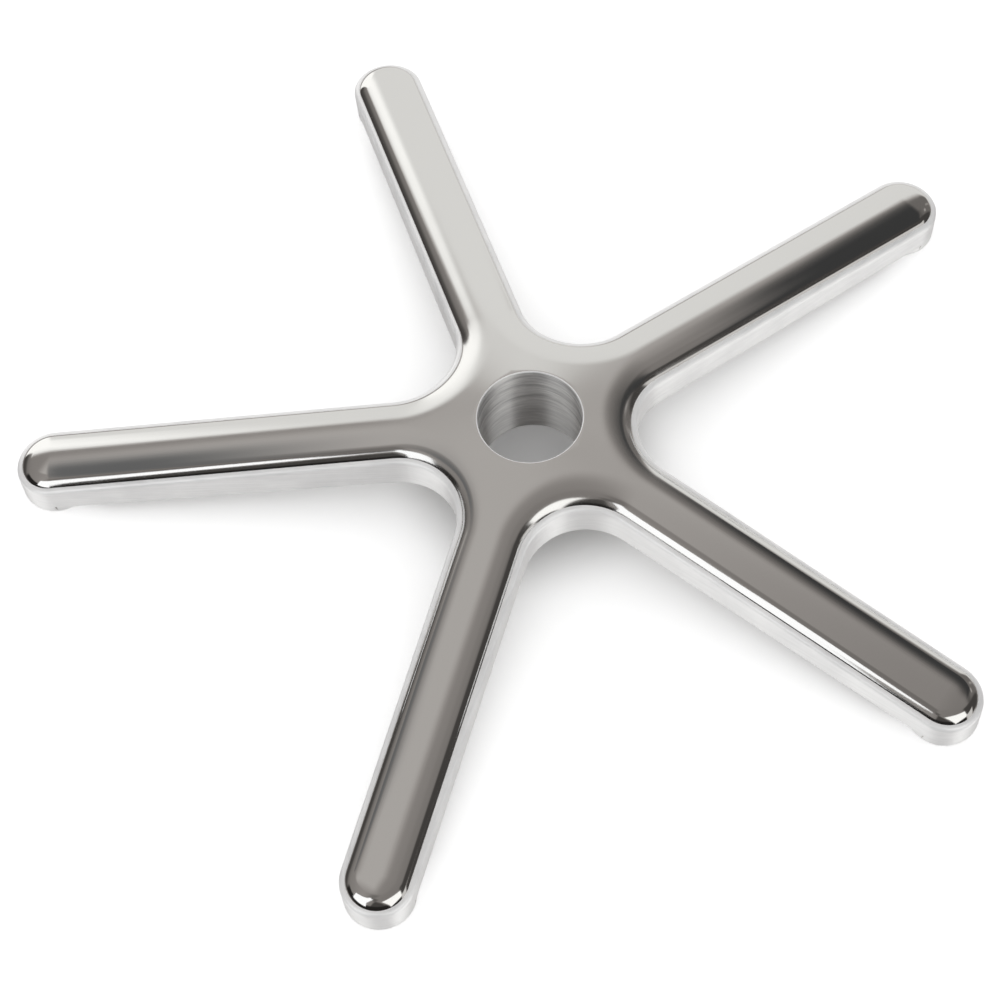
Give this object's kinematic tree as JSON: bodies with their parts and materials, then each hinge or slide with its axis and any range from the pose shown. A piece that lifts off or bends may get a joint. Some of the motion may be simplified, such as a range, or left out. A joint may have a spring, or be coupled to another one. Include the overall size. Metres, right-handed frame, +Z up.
{
  "type": "office chair five star base",
  "caption": "Polished cast aluminium star base for an office chair: a hub with a column bore, sloping round-ended arms and a foot with a caster socket under each arm's end.",
  "frame": {"origin": "centre of the column bore at its upper rim", "axes": "+Z up along the bore, +X along the first arm"},
  "size_m": [0.4556, 0.4772, 0.0499],
  "materials": {
    "polished_aluminium": "mirror-polished crown on hub and arms, satin side walls, turned bore, as cast underneath"
  },
  "bodies": {
    "root": {"star_base": "polished_aluminium"}
  },
  "joints": []
}
